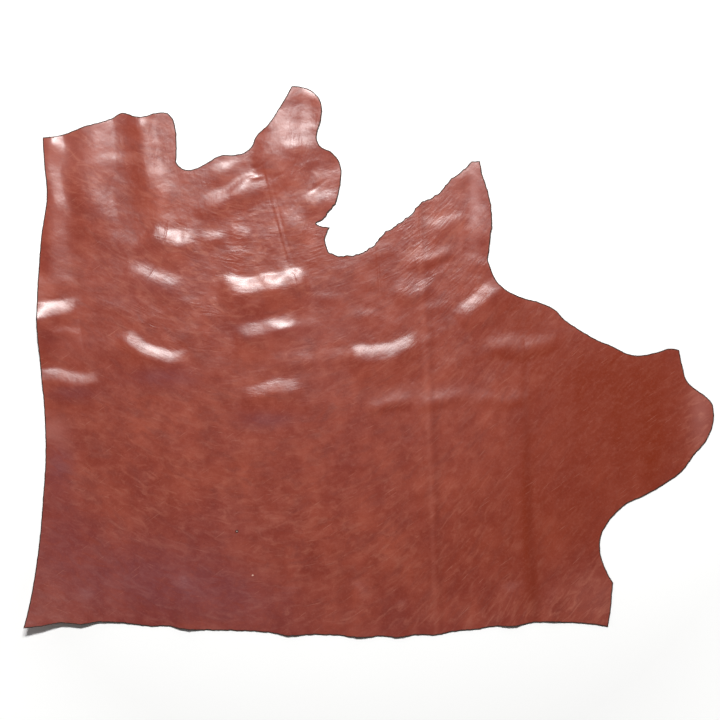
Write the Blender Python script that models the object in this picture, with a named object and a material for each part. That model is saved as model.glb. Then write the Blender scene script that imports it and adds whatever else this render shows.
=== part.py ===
"""A leather hide: the front part of a tanned cow side, laid out flat on a floor.

One closed sheet 2 mm thick.  The cut edge is walked in named stretches from corner to corner.
The sheet lies flat at z = 0 and is lifted by soft waves, by long folds and by one curled corner.
Tables are in millimetres: across (+X), up the hide (+Y), height (+Z).  The finished mesh is moved a
little so that its origin is under the middle of the outline's own box.
"""
import bpy
import numpy as np
from mathutils import Vector
from mathutils.geometry import delaunay_2d_cdt

MM = 0.001
THICKNESS = 2.0          # of the leather
EDGE_STEP = 15.0         # spacing of points along the long cuts
NICK_STEP = 6.0          # and round the small nick
FLAT_STEP = 46.0         # spacing of points where the hide lies flat
WAVE_STEP = 17.0         # spacing of points where it is lifted
FOLD_STEP = 22.0         # spacing of points along a narrow fold
FOLD_WIDTH = 20.0        # a lifted line narrower than this gets its own rows of points
SHALLOW = 1.2            # a broad wave lower than this is drawn by the wide points
NOTHING = 0.02           # a lift below this counts as flat
CLEAR_OF_EDGE = 0.55     # inner points keep this share of their spacing away from the edge
LOOK_AHEAD = 0.8         # a close point stays if the hide is lifted this share of its spacing away
LOOKS_ROUND = 6          # in this many directions
CURVE_PIECES = 14        # straight pieces a wave's line is measured in
WELD = 1e-4              # metres: points closer than this are one

# ---- the cut edge, clockwise seen from the grain side: (across, up) ----
CROSS_CUT = ((-648, -499), (-637, -445), (-626, -366), (-617, -262), (-612, -178), (-615, -76),
             (-621, -8), (-626, 57), (-626, 148), (-620, 236), (-609, 318), (-614, 378), (-617, 425))
FLANK_TOP = ((-617, 425), (-585, 429), (-539, 445), (-490, 460), (-466, 472), (-446, 466), (-429, 464),
             (-406, 471), (-391, 473), (-380, 470), (-371, 460), (-366, 442), (-364, 416), (-365, 379))
FLANK_BAY = ((-365, 379), (-352, 366), (-339, 364), (-324, 368), (-304, 379), (-278, 392), (-256, 392),
             (-238, 396), (-224, 406), (-212, 430), (-194, 446), (-169, 482), (-146, 522))
LEG_LOBES = ((-146, 522), (-129, 521), (-117, 518), (-103, 509), (-92, 495), (-89, 480), (-90, 462),
             (-98, 421), (-94, 411), (-68, 395), (-57, 381), (-52, 361), (-53, 344), (-63, 299))
NICK = ((-63, 299), (-71, 291), (-80, 277), (-91, 268), (-100, 261), (-89, 258), (-74, 255))
ARM_BAY = ((-74, 255), (-82, 225), (-76, 209), (-63, 203), (-34, 202), (-2, 213), (31, 246), (63, 267),
           (86, 287), (97, 301), (126, 315), (154, 345), (185, 370), (194, 380))
POINT_TIP = ((194, 380), (210, 380))
POINT_SIDE = ((210, 380), (214, 358), (227, 316), (233, 264), (230, 236), (225, 193))
NECK_EDGE = ((225, 193), (231, 176), (241, 154), (262, 135), (291, 122), (326, 112), (351, 100), (372, 79),
             (396, 63), (428, 44), (461, 30), (496, 14), (515, 13), (545, 19), (571, 26), (587, 23))
CHEEK = ((587, 23), (594, -10), (601, -34), (615, -49), (634, -62), (648, -76), (653, -99), (650, -122),
         (638, -149), (615, -176), (592, -207), (565, -227), (510, -258))
EAR_BAY = ((510, -258), (488, -268), (469, -284), (452, -304), (440, -327), (437, -348), (439, -365),
           (449, -394), (462, -417))
POLL_END = ((462, -417), (460, -440), (457, -472), (452, -501))
BACK_CUT = ((452, -501), (420, -496), (376, -493), (312, -493), (272, -500), (240, -500), (202, -506),
            (159, -510), (132, -516), (83, -517), (60, -521), (25, -519), (-16, -521), (-62, -517),
            (-111, -516), (-152, -518), (-189, -512), (-259, -508), (-317, -507), (-352, -505),
            (-378, -500), (-413, -500), (-462, -494), (-517, -492), (-540, -495), (-581, -492),
            (-617, -497), (-648, -499))
EDGE = ((CROSS_CUT, EDGE_STEP), (FLANK_TOP, EDGE_STEP), (FLANK_BAY, EDGE_STEP), (LEG_LOBES, EDGE_STEP),
        (NICK, NICK_STEP), (ARM_BAY, EDGE_STEP), (POINT_TIP, EDGE_STEP), (POINT_SIDE, EDGE_STEP),
        (NECK_EDGE, EDGE_STEP), (CHEEK, EDGE_STEP), (EAR_BAY, EDGE_STEP), (POLL_END, EDGE_STEP),
        (BACK_CUT, EDGE_STEP))

# ---- where the hide stands off the floor ----
# Columns: start, middle, end, half width, height, lean, cross-section.
# The lean moves the crest to the left of the line (+) or to the right (-).
# A line that ends inside the hide dies away there; one that runs out past the edge lifts the edge.
SHAPES = {"bell": (2.0, 3.0, 4), "ramp": (1.3, 1.3, 6), "pillow": (2.2, 1.4, 6)}   # powers p, q and r
BELLY_WAVES = (
    ((-286, 108), (-197, 115), (-108, 127), 54, 6.8, 0.36, "ramp"),
    ((-262, 30), (-191, 38), (-118, 54), 44, 4.7, 0.32, "ramp"),
    ((-244, -86), (-172, -72), (-114, -54), 37, 3.8, 0.30, "ramp"),
    ((-482, 42), (-426, -4), (-330, -18), 44, 5.1, 0.36, "ramp"),
    ((-472, 170), (-412, 146), (-336, 130), 42, 3.9, 0.1, "bell"),
    ((-440, 238), (-388, 207), (-314, 220), 44, 3.8, 0.3, "ramp"),
    ((-328, 276), (-262, 306), (-190, 342), 38, 3.2, 0.2, "bell"),
    ((-335, 226), (-300, 232), (-268, 226), 26, 1.7, 0.1, "bell"),
    ((-262, 236), (-240, 236), (-214, 232), 24, 1.3, 0.1, "bell"),
    ((-42, -12), (30, -9), (112, 20), 48, 5.0, 0.34, "ramp"),
    ((178, 62), (226, 102), (280, 158), 42, 4.1, 0.3, "ramp"),
)
CUT_WAVES = (
    ((-612, 480), (-600, 300), (-596, 70), 44, 4.8, 0.0, "bell"),
    ((-668, 190), (-640, 80), (-660, -10), 84, 7.5, 0.0, "bell"),
    ((-634, 398), (-602, 402), (-566, 396), 24, 1.4, 0.1, "bell"),
    ((-760, 50), (-636, 61), (-538, 72), 52, 6.5, 0.36, "ramp"),
    ((-606, 46), (-577, 49), (-546, 45), 18, 1.5, 0.1, "bell"),
    ((-740, -54), (-610, -52), (-506, -58), 40, 4.6, 0.34, "ramp"),
    ((-534, 600), (-532, 410), (-526, 200), 50, 6.2, 0.0, "pillow"),
    ((-446, 590), (-441, 440), (-430, 290), 46, 4.3, 0.3, "bell"),
    ((-416, 390), (-405, 290), (-398, 190), 46, 2.2, 0.2, "bell"),
    ((-172, 590), (-168, 460), (-180, 330), 46, 3.4, 0.0, "pillow"),
    ((-84, 555), (-78, 460), (-76, 360), 42, 3.6, 0.0, "bell"),
    ((-134, 300), (-92, 296), (-44, 300), 38, 2.0, 0.1, "bell"),
    ((-226, 390), (-158, 398), (-92, 390), 100, 2.8, 0.0, "bell"),
    ((222, 490), (221, 330), (214, 200), 34, 2.8, 0.0, "bell"),
    ((242, 295), (240, 220), (238, 140), 38, 3.2, 0.0, "bell"),
    ((100, 250), (145, 253), (194, 260), 32, 1.3, 0.1, "bell"),
    ((-650, 170), (-664, -170), (-690, -620), 78, 6.5, 0.0, "bell"),
)
BACK_WAVES = (
    ((-538, -420), (-538, -490), (-538, -590), 32, 3.0, 0.0, "bell"),
    ((-350, -400), (-349, -480), (-346, -600), 38, 5.0, 0.0, "bell"),
    ((-150, -420), (-150, -490), (-150, -590), 32, 3.0, 0.0, "bell"),
    ((-16, -410), (-15, -485), (-14, -595), 36, 4.0, 0.0, "bell"),
    ((60, -450), (60, -500), (60, -580), 26, 2.5, 0.0, "bell"),
    ((270, -410), (272, -485), (274, -590), 36, 4.5, 0.0, "bell"),
    ((350, -430), (349, -490), (348, -580), 28, 2.5, 0.0, "bell"),
)
LONG_FOLDS = (
    ((92, 360), (117, -110), (137, -640), 13, 0.5, 0.3, "bell"),
    ((292, 160), (300, -200), (322, -600), 40, 0.8, 0.0, "bell"),
)
SMALL_WAVES = (
    ((-200, 0), (-155, 6), (-105, 20), 30, 2.0, -0.2, "bell"),
    ((46, 142), (85, 138), (132, 146), 34, 1.8, -0.2, "bell"),
    ((98, 196), (128, 200), (160, 214), 22, 1.8, -0.2, "bell"),
    ((-6, -78), (40, -77), (84, -74), 24, 1.9, -0.2, "bell"),
    ((82, -74), (130, -66), (200, -54), 24, 1.9, -0.2, "bell"),
    ((205, 26), (270, 30), (380, 46), 30, 2.0, -0.2, "bell"),
    ((190, -70), (250, -68), (310, -56), 24, 1.4, -0.2, "bell"),
)
WAVES = BELLY_WAVES + CUT_WAVES + BACK_WAVES + LONG_FOLDS + SMALL_WAVES

CURL_CORNER = (-648.0, -499.0)   # the lower left corner, curled up off the floor
CURL_REACH = 180.0               # how far in from the corner the curl begins
CURL_LIFT = 27.0                 # height of the corner's underside
CURL_TURN = 42.0                 # degrees from +X to the way the curl runs in

# no crest runs straight: points are nudged along these sines before a wave is measured
WANDER = ((139, 0.4, 3.6), (83, 2.3, 1.6))   # length, phase, nudge


def smooth_run(knots, step):
    """Points about `step` apart on a smooth curve through the knots, the last knot left out.

    Each piece is a cubic whose end slopes are those of the parabola through three knots."""
    knot = np.array(knots, dtype=float)
    gap = np.linalg.norm(np.diff(knot, axis=0), axis=1)
    slope = np.diff(knot, axis=0) / gap[:, None]
    lean = np.concatenate([slope[:1], slope[-1:]])
    if len(knot) > 2:
        share = (gap[:-1] / (gap[:-1] + gap[1:]))[:, None]
        inner = slope[:-1] * (1 - share) + slope[1:] * share
        lean = np.concatenate([2 * slope[:1] - inner[:1], inner, 2 * slope[-1:] - inner[-1:]])
    walked = np.concatenate([[0.0], np.cumsum(gap)])
    count = max(1, int(round(walked[-1] / step)))
    at = np.arange(count) * walked[-1] / count
    i = np.clip(np.searchsorted(walked, at, side="right") - 1, 0, len(gap) - 1)
    u = ((at - walked[i]) / gap[i])[:, None]
    g = gap[i][:, None]
    return ((1 + 2 * u) * (1 - u) ** 2 * knot[i] + u * (1 - u) ** 2 * g * lean[i]
            + u ** 2 * (3 - 2 * u) * knot[i + 1] - u ** 2 * (1 - u) * g * lean[i + 1])


def wave_line(start, middle, end, pieces):
    """Points on the parabola that leaves `start`, passes `middle` half way and stops at `end`."""
    a, b, c = (np.array(p, dtype=float) for p in (start, middle, end))
    u = np.linspace(0.0, 1.0, pieces + 1)[:, None]
    return (1 - u) * (1 - 2 * u) * a + 4 * u * (1 - u) * b + u * (2 * u - 1) * c


def measure_off(at, line):
    """Signed distance of each point to a bent line (left of it is +), and how far along, 0 to 1."""
    near = np.full(len(at), np.inf)
    side = np.ones(len(at))
    along = np.zeros(len(at))
    pieces = len(line) - 1
    for k in range(pieces):
        leg = line[k + 1] - line[k]
        off = at - line[k]
        t = np.clip(off @ leg / (leg @ leg), 0.0, 1.0)
        d = np.linalg.norm(off - t[:, None] * leg, axis=1)
        closer = d < near
        near = np.where(closer, d, near)
        side = np.where(closer, np.sign(leg[0] * off[:, 1] - leg[1] * off[:, 0]), side)
        along = np.where(closer, (k + t) / pieces, along)
    return near * side, along


def wave_height(at, wave):
    """(1 - s^p)^q across, s being the distance over the half width shifted by the lean, 0 beyond.

    Along its line the wave rises and dies as (1 - (2 u - 1)^r)^2.  p, q and r go with the shape."""
    start, middle, end, half_width, height, lean, shape = wave
    inner, outer, along_power = SHAPES[shape]
    off, along = measure_off(at, wave_line(start, middle, end, CURVE_PIECES))
    s = np.clip(off / half_width, -1.0, 1.0)
    s = (s - lean) / (1 - lean * s)
    return height * (1 - np.abs(s) ** inner) ** outer * (1 - (2 * along - 1) ** along_power) ** 2


def wander(at):
    """Nudges x along sines of y + x / 3, and y along sines of x - y / 3."""
    along = at[:, 1] + at[:, 0] / 3
    across = at[:, 0] - at[:, 1] / 3
    nudged = at.copy()
    for length, phase, size in WANDER:
        nudged[:, 0] += size * np.sin(2 * np.pi * along / length + phase)
        nudged[:, 1] += size * np.sin(2 * np.pi * across / length + 2 * phase)
    return nudged


def lift(at, waves=WAVES):
    """Height of the underside over the floor at each point: the waves plus the curled corner."""
    bent = wander(at)
    total = sum(wave_height(bent, wave) for wave in waves)
    turn = np.radians(CURL_TURN)
    inward = (at - np.array(CURL_CORNER)) @ np.array([np.cos(turn), np.sin(turn)])
    return total + CURL_LIFT * (np.clip(CURL_REACH - inward, 0.0, None) / CURL_REACH) ** 2


def honeycomb(low, high, step):
    """Points `step` apart in staggered rows over a box."""
    rows = np.arange(low[1], high[1], step * np.sqrt(3) / 2)
    spots = []
    for k, y in enumerate(rows):
        x = np.arange(low[0] + (k % 2) * step / 2, high[0], step)
        spots.append(np.stack([x, np.full(len(x), y)], axis=1))
    return np.concatenate(spots)


def to_edge(at, edge):
    """Distance of each point to the cut edge, and whether it lies inside the edge."""
    near = np.full(len(at), np.inf)
    inside = np.zeros(len(at), dtype=bool)
    for a, b in zip(edge, np.roll(edge, -1, axis=0)):
        leg = b - a
        t = np.clip((at - a) @ leg / (leg @ leg), 0.0, 1.0)
        near = np.minimum(near, np.linalg.norm(at - a - t[:, None] * leg, axis=1))
        if a[1] != b[1]:
            crosses = (at[:, 1] < a[1]) != (at[:, 1] < b[1])
            inside ^= crosses & (at[:, 0] < a[0] + (at[:, 1] - a[1]) * leg[0] / leg[1])
    return near, inside


def keep_inside(at, edge, step):
    """The points inside the edge and far enough from it for their spacing."""
    near, inside = to_edge(at, edge)
    return at[inside & (near > CLEAR_OF_EDGE * step)]


def keep_clear(at, others, step):
    """The points far enough from the others for their spacing."""
    near = np.array([np.min(np.sum((others - p) ** 2, axis=1)) for p in at])
    return at[near > (CLEAR_OF_EDGE * step) ** 2]


def fold_rows(wave):
    """Rows of points on a fold's crest, half way down and at its two feet."""
    start, middle, end, half_width, *_ = wave
    length = np.linalg.norm(np.array(end, dtype=float) - np.array(start, dtype=float))
    line = wave_line(start, middle, end, int(length / FOLD_STEP))
    run = np.gradient(line, axis=0)
    side = np.stack([-run[:, 1], run[:, 0]], axis=1) / np.linalg.norm(run, axis=1)[:, None]
    return np.concatenate([line + side * half_width * s for s in (-1.0, -0.5, 0.0, 0.5, 1.0)])


def lay_points(edge):
    """Every inner point: fold rows first, then close points where lifted, wide ones where flat."""
    low, high = edge.min(axis=0), edge.max(axis=0)
    folds = np.concatenate([fold_rows(wave) for wave in WAVES if wave[3] < FOLD_WIDTH])
    broad = [wave for wave in WAVES if wave[3] >= FOLD_WIDTH and wave[4] > SHALLOW]
    folds = keep_inside(folds, edge, FOLD_WIDTH / 2)
    close = keep_inside(honeycomb(low, high, WAVE_STEP), edge, WAVE_STEP)
    near_wave = np.zeros(len(close), dtype=bool)
    for turn in np.linspace(0, 2 * np.pi, LOOKS_ROUND, endpoint=False):
        shift = LOOK_AHEAD * WAVE_STEP * np.array([np.cos(turn), np.sin(turn)])
        near_wave |= lift(close + shift, broad) > NOTHING
    close = keep_clear(close[near_wave], folds, WAVE_STEP)
    wide = keep_inside(honeycomb(low, high, FLAT_STEP), edge, FLAT_STEP)
    wide = keep_clear(wide, np.concatenate([folds, close]), FLAT_STEP)
    return np.concatenate([folds, close, wide])


def hide_mesh():
    """The two faces of the sheet over one set of triangles, joined by a wall all round the cut edge."""
    edge = np.concatenate([smooth_run(knots, step) for knots, step in EDGE])
    flat = np.concatenate([edge, lay_points(edge)])
    ring = [(k, (k + 1) % len(edge)) for k in range(len(edge))]
    spots, _, faces = delaunay_2d_cdt([Vector(p) for p in flat], ring, [], 0, WELD, False)[:3]
    flat = np.array([tuple(p) for p in spots])
    middles = np.array([flat[list(face)].mean(axis=0) for face in faces])
    faces = [face for face, inside in zip(faces, to_edge(middles, edge)[1]) if inside]
    height = lift(flat)
    centred = flat - (edge.min(axis=0) + edge.max(axis=0)) / 2
    low = np.column_stack([centred, height]) * MM
    high = np.column_stack([centred, height + THICKNESS]) * MM
    n = len(flat)
    top = [tuple(n + k for k in face) for face in faces]
    bottom = [tuple(reversed(face)) for face in faces]
    sides = {}
    for face in faces:
        for a, b in zip(face, face[1:] + face[:1]):
            sides[(a, b)] = True
    rim = [(a, b, n + b, n + a) for a, b in sides if (b, a) not in sides]
    mesh = bpy.data.meshes.new("hide")
    mesh.from_pydata(np.concatenate([low, high]).tolist(), [], top + bottom + rim)
    mesh.validate()
    mesh.update()
    return mesh


def leather():
    """Waxed red-brown leather."""
    material = bpy.data.materials.new("waxed_leather")
    material.use_nodes = True
    shader = material.node_tree.nodes["Principled BSDF"]
    shader.inputs["Base Color"].default_value = (0.265, 0.062, 0.040, 1.0)
    shader.inputs["Roughness"].default_value = 0.38
    shader.inputs["Metallic"].default_value = 0.0
    return material


for thing in list(bpy.data.objects):
    bpy.data.objects.remove(thing, do_unlink=True)
hide = bpy.data.objects.new("hide", hide_mesh())
hide.data.materials.append(leather())
bpy.context.scene.collection.objects.link(hide)
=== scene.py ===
# %% [markdown]
# # A leather hide on the floor
#
# The piece is the front part of a tanned cow side: waxed pull-up leather, red-brown and glossy on the grain
# side, dull on the flesh side, with a raw knife-cut edge all round.  It lies where the imported solid lies,
# so the first step loads that solid.

# %% Load the imported hide
import math

import bpy
import numpy as np
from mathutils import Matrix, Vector
from mathutils.geometry import delaunay_2d_cdt


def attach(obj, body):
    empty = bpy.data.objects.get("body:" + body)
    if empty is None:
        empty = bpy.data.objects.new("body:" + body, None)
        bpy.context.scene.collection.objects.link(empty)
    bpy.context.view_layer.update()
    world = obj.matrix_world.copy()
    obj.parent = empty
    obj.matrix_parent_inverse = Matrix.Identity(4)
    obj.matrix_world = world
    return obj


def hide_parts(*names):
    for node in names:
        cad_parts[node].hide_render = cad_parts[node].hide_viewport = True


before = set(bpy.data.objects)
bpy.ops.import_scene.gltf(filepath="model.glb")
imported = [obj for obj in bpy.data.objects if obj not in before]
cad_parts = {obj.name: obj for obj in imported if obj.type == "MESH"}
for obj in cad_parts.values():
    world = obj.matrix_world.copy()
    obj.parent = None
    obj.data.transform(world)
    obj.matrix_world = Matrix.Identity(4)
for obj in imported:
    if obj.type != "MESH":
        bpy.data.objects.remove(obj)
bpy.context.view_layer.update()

MM = 0.001

# %% [markdown]
# ## The cut edge
#
# A tanner trims a hide with a curved knife, so its outline is a chain of long sweeps that meet in
# corners: the straight cut across the animal, the flank, the bay in front of it, the two lobes of
# the leg, the arm bay, the shoulder point, the neck, the cheek, the ear bay, the poll and the long
# cut along the back.  It could be drawn as one curve object, but short tables, one for each sweep,
# keep every sweep under its own name.  Sizes are in millimetres from the middle of the hide:
# (across, up).

# %% The sweeps of the knife, clockwise seen from the grain side
CROSS_CUT = ((-648, -499), (-637, -445), (-626, -366), (-617, -262), (-612, -178), (-615, -76),
             (-621, -8), (-626, 57), (-626, 148), (-620, 236), (-609, 318), (-614, 378), (-617, 425))
FLANK_TOP = ((-617, 425), (-585, 429), (-539, 445), (-490, 460), (-466, 472), (-446, 466), (-429, 464),
             (-406, 471), (-391, 473), (-380, 470), (-371, 460), (-366, 442), (-364, 416), (-365, 379))
FLANK_BAY = ((-365, 379), (-352, 366), (-339, 364), (-324, 368), (-304, 379), (-278, 392), (-256, 392),
             (-238, 396), (-224, 406), (-212, 430), (-194, 446), (-169, 482), (-146, 522))
LEG_LOBES = ((-146, 522), (-129, 521), (-117, 518), (-103, 509), (-92, 495), (-89, 480), (-90, 462),
             (-98, 421), (-94, 411), (-68, 395), (-57, 381), (-52, 361), (-53, 344), (-63, 299))
NICK = ((-63, 299), (-71, 291), (-80, 277), (-91, 268), (-100, 261), (-89, 258), (-74, 255))
ARM_BAY = ((-74, 255), (-82, 225), (-76, 209), (-63, 203), (-34, 202), (-2, 213), (31, 246), (63, 267),
           (86, 287), (97, 301), (126, 315), (154, 345), (185, 370), (194, 380))
POINT_TIP = ((194, 380), (210, 380))
POINT_SIDE = ((210, 380), (214, 358), (227, 316), (233, 264), (230, 236), (225, 193))
NECK_EDGE = ((225, 193), (231, 176), (241, 154), (262, 135), (291, 122), (326, 112), (351, 100), (372, 79),
             (396, 63), (428, 44), (461, 30), (496, 14), (515, 13), (545, 19), (571, 26), (587, 23))
CHEEK = ((587, 23), (594, -10), (601, -34), (615, -49), (634, -62), (648, -76), (653, -99), (650, -122),
         (638, -149), (615, -176), (592, -207), (565, -227), (510, -258))
EAR_BAY = ((510, -258), (488, -268), (469, -284), (452, -304), (440, -327), (437, -348), (439, -365),
           (449, -394), (462, -417))
POLL_END = ((462, -417), (460, -440), (457, -472), (452, -501))
BACK_CUT = ((452, -501), (420, -496), (376, -493), (312, -493), (272, -500), (240, -500), (202, -506),
            (159, -510), (132, -516), (83, -517), (60, -521), (25, -519), (-16, -521), (-62, -517),
            (-111, -516), (-152, -518), (-189, -512), (-259, -508), (-317, -507), (-352, -505),
            (-378, -500), (-413, -500), (-462, -494), (-517, -492), (-540, -495), (-581, -492),
            (-617, -497), (-648, -499))
# how far the knife strays off each sweep, in millimetres: torn places stray most
SWEEPS = ((CROSS_CUT, 0.25), (FLANK_TOP, 0.4), (FLANK_BAY, 0.3), (LEG_LOBES, 0.3), (NICK, 1.3),
          (ARM_BAY, 1.2), (POINT_TIP, 0.5), (POINT_SIDE, 0.6), (NECK_EDGE, 0.3), (CHEEK, 0.3),
          (EAR_BAY, 0.3), (POLL_END, 0.3), (BACK_CUT, 0.5))
print(len(SWEEPS), "sweeps,", sum(len(knots) for knots, _ in SWEEPS), "knots")

# %% [markdown]
# Straight lines between the knots would leave facets.  A smooth cubic through each sweep's knots
# gives the knife's even curve and still keeps the corners, because each sweep stops at its last knot.

# %% A smooth line through a sweep's knots
EDGE_STEP = 3.0     # spacing of points along the cut


def smooth_run(knots, step):
    """Points about `step` apart on a smooth curve through the knots, the last knot left out.

    Each piece is a cubic whose end slopes are those of the parabola through three knots."""
    knot = np.array(knots, dtype=float)
    gap = np.linalg.norm(np.diff(knot, axis=0), axis=1)
    slope = np.diff(knot, axis=0) / gap[:, None]
    lean = np.concatenate([slope[:1], slope[-1:]])
    if len(knot) > 2:
        share = (gap[:-1] / (gap[:-1] + gap[1:]))[:, None]
        inner = slope[:-1] * (1 - share) + slope[1:] * share
        lean = np.concatenate([2 * slope[:1] - inner[:1], inner, 2 * slope[-1:] - inner[-1:]])
    walked = np.concatenate([[0.0], np.cumsum(gap)])
    count = max(1, int(round(walked[-1] / step)))
    at = np.arange(count) * walked[-1] / count
    i = np.clip(np.searchsorted(walked, at, side="right") - 1, 0, len(gap) - 1)
    u = ((at - walked[i]) / gap[i])[:, None]
    g = gap[i][:, None]
    return ((1 + 2 * u) * (1 - u) ** 2 * knot[i] + u * (1 - u) ** 2 * g * lean[i]
            + u ** 2 * (3 - 2 * u) * knot[i + 1] - u ** 2 * (1 - u) * g * lean[i + 1])


def outward(line):
    """Unit arrows square to a closed clockwise line, pointing out of the hide."""
    run = np.roll(line, -1, axis=0) - np.roll(line, 1, axis=0)
    return np.stack([-run[:, 1], run[:, 0]], axis=1) / np.linalg.norm(run, axis=1)[:, None]


# %% [markdown]
# A knife never follows its line exactly.  The stray is a sum of a few sine waves of unlike lengths,
# so it never seems to repeat; it fades to nothing at each corner, and it is larger where the edge
# was torn rather than cut.

# %% The line with the knife's stray
# length, share and phase of each sine
STRAY_WAVES = ((9.0, 0.30, 0.4), (14.5, 0.45, 2.1), (23.0, 0.60, 4.4), (41.0, 0.50, 1.3))
STRAY_FADE = 0.3     # the lower, the nearer to a corner the full stray comes


def stray(count, step):
    """Sum of sines along a sweep, times the sine of a half turn to a low power: 0 at both ends."""
    s = np.arange(count) * step
    total = sum(share * np.sin(2 * np.pi * s / length + phase) for length, share, phase in STRAY_WAVES)
    return total * np.sin(np.pi * np.arange(count) / count) ** STRAY_FADE


runs = [smooth_run(knots, EDGE_STEP) for knots, _ in SWEEPS]
edge_line = np.concatenate(runs)
edge_stray = np.concatenate([amount * stray(len(run), EDGE_STEP) for run, (_, amount) in zip(runs, SWEEPS)])
EDGE = edge_line + outward(edge_line) * edge_stray[:, None]
edge_length = np.linalg.norm(EDGE - np.roll(EDGE, 1, axis=0), axis=1).sum()
print("cut edge:", len(EDGE), "points,", round(edge_length), "mm")

# %% [markdown]
# ## Waves, folds and the curled corner
#
# Leather that was folded for storage and then laid out stays a little proud of the floor.  Each
# soft wave is a line with a half width and a height.  `lean` moves its crest to the left of its line
# (+) or to the right (-), because real waves are steeper on one side.  A line that ends inside the
# hide dies away there, and one that runs out past the edge lifts the edge.  Three cross-sections
# cover what leather does: a bell, a ramp that rises evenly to a tight crest, and a pillow that is
# steepest at its foot.

# %% Waves: start, middle, end, half width, height, lean, cross-section
SHAPES = {"bell": (2.0, 3.0, 4), "ramp": (1.3, 1.3, 6), "pillow": (2.2, 1.4, 6)}   # powers p, q and r
BELLY_WAVES = (
    ((-286, 108), (-197, 115), (-108, 127), 54, 6.1, 0.36, "ramp"),
    ((-262, 30), (-191, 38), (-118, 54), 44, 4.7, 0.32, "ramp"),
    ((-244, -86), (-172, -72), (-114, -54), 37, 3.8, 0.30, "ramp"),
    ((-482, 42), (-426, -4), (-330, -18), 44, 5.1, 0.36, "ramp"),
    ((-472, 170), (-412, 146), (-336, 130), 42, 3.9, 0.1, "bell"),
    ((-440, 238), (-388, 207), (-314, 220), 44, 3.8, 0.3, "ramp"),
    ((-328, 276), (-262, 306), (-190, 342), 38, 3.2, 0.2, "bell"),
    ((-335, 226), (-300, 232), (-268, 226), 26, 1.7, 0.1, "bell"),
    ((-262, 236), (-240, 236), (-214, 232), 24, 1.3, 0.1, "bell"),
    ((-42, -12), (30, -9), (112, 20), 48, 5.0, 0.34, "ramp"),
    ((178, 62), (226, 102), (280, 158), 42, 4.1, 0.3, "ramp"),
)
CUT_WAVES = (
    ((-612, 480), (-600, 300), (-596, 70), 44, 4.8, 0.0, "bell"),
    ((-668, 190), (-640, 80), (-660, -10), 84, 7.5, 0.0, "bell"),
    ((-634, 398), (-602, 402), (-566, 396), 24, 1.4, 0.1, "bell"),
    ((-760, 50), (-636, 61), (-538, 72), 52, 6.5, 0.36, "ramp"),
    ((-606, 46), (-577, 49), (-546, 45), 18, 1.5, 0.1, "bell"),
    ((-740, -54), (-610, -52), (-506, -58), 40, 4.6, 0.34, "ramp"),
    ((-534, 600), (-532, 410), (-526, 200), 50, 6.2, 0.0, "pillow"),
    ((-446, 590), (-441, 440), (-430, 290), 46, 4.3, 0.3, "bell"),
    ((-416, 390), (-405, 290), (-398, 190), 46, 2.2, 0.2, "bell"),
    ((-172, 590), (-168, 460), (-180, 330), 46, 3.4, 0.0, "pillow"),
    ((-84, 555), (-78, 460), (-76, 360), 42, 3.6, 0.0, "bell"),
    ((-134, 300), (-92, 296), (-44, 300), 38, 2.0, 0.1, "bell"),
    ((-226, 390), (-158, 398), (-92, 390), 100, 2.8, 0.0, "bell"),
    ((222, 490), (221, 330), (214, 200), 34, 2.8, 0.0, "bell"),
    ((242, 295), (240, 220), (238, 140), 38, 3.2, 0.0, "bell"),
    ((100, 250), (145, 253), (194, 260), 32, 1.3, 0.1, "bell"),
    ((-650, 170), (-664, -170), (-690, -620), 78, 6.5, 0.0, "bell"),
)
BACK_WAVES = (
    ((-538, -420), (-538, -490), (-538, -590), 32, 3.0, 0.0, "bell"),
    ((-350, -400), (-349, -480), (-346, -600), 38, 5.0, 0.0, "bell"),
    ((-150, -420), (-150, -490), (-150, -590), 32, 3.0, 0.0, "bell"),
    ((-16, -410), (-15, -485), (-14, -595), 36, 4.0, 0.0, "bell"),
    ((60, -450), (60, -500), (60, -580), 26, 2.5, 0.0, "bell"),
    ((270, -410), (272, -485), (274, -590), 36, 4.5, 0.0, "bell"),
    ((350, -430), (349, -490), (348, -580), 28, 2.5, 0.0, "bell"),
)
LONG_FOLDS = (
    ((92, 360), (117, -110), (137, -640), 13, 0.5, 0.3, "bell"),
    ((292, 160), (300, -200), (322, -600), 40, 0.8, 0.0, "bell"),
)
SMALL_WAVES = (
    ((-200, 0), (-155, 6), (-105, 20), 30, 2.0, -0.2, "bell"),
    ((46, 142), (85, 138), (132, 146), 34, 1.8, -0.2, "bell"),
    ((98, 196), (128, 200), (160, 214), 22, 1.8, -0.2, "bell"),
    ((-6, -78), (40, -77), (84, -74), 24, 1.9, -0.2, "bell"),
    ((82, -74), (130, -66), (200, -54), 24, 1.9, -0.2, "bell"),
    ((205, 26), (270, 30), (380, 46), 30, 2.0, -0.2, "bell"),
    ((190, -70), (250, -68), (310, -56), 24, 1.4, -0.2, "bell"),
)
FOLD_VALLEY = ((292, 160), (300, -200), (322, -600), 9, -0.5, 0.0, "bell")
WAVES = BELLY_WAVES + CUT_WAVES + BACK_WAVES + LONG_FOLDS + SMALL_WAVES + (FOLD_VALLEY,)

CURL_CORNER = (-648.0, -499.0)   # the lower left corner, curled up off the floor
CURL_REACH = 180.0               # how far in from the corner the curl begins
CURL_LIFT = 27.0                 # height of the corner's underside
CURL_TURN = 42.0                 # degrees from +X to the way the curl runs in
print(len(WAVES), "waves")

# %% [markdown]
# The height of the sheet is worked out for all its points at once.  Every wave is a bump across its
# line, and a bump that is exactly flat beyond its half width leaves the rest of the hide flat on
# the floor, as a laid sheet is.

# %% A wave's line
LINE_PIECES = 14     # straight pieces a wave's line is measured in


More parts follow.
